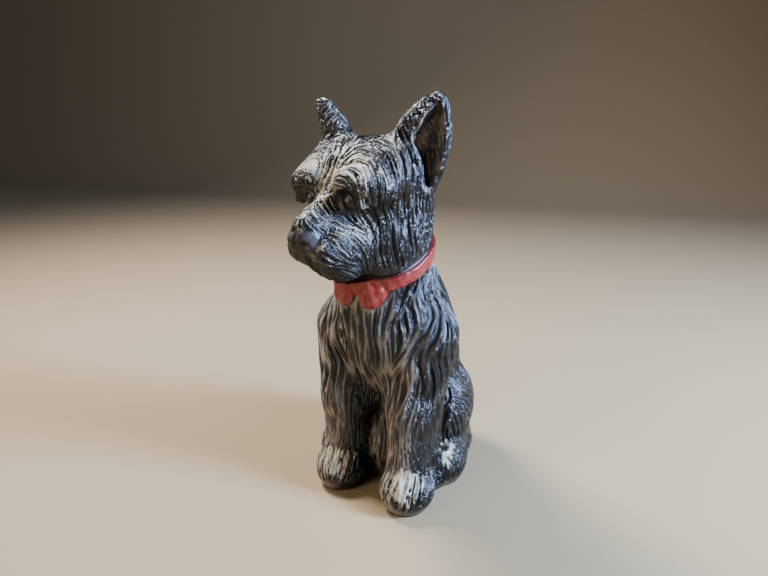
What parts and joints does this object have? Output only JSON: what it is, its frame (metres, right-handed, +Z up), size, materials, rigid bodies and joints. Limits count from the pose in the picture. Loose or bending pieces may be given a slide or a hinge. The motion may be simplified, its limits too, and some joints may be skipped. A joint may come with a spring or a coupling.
{
  "type": "dog statue",
  "caption": "Seated terrier statue cast in one piece of concrete, with pricked ears, carved wavy coat and a collar with a bow; stands on its flat underside.",
  "frame": {"origin": "centre of the bounding box's bottom face, on the flat underside", "axes": "+Z up, the dog faces -Y and its own left side is +X; its head is turned a little towards -X"},
  "size_m": [0.162, 0.2366, 0.38],
  "materials": {
    "painted_concrete": "satin black paint on cast concrete, dry-brushed"
  },
  "bodies": {
    "root": {"dog_statue": "painted_concrete"}
  },
  "joints": []
}
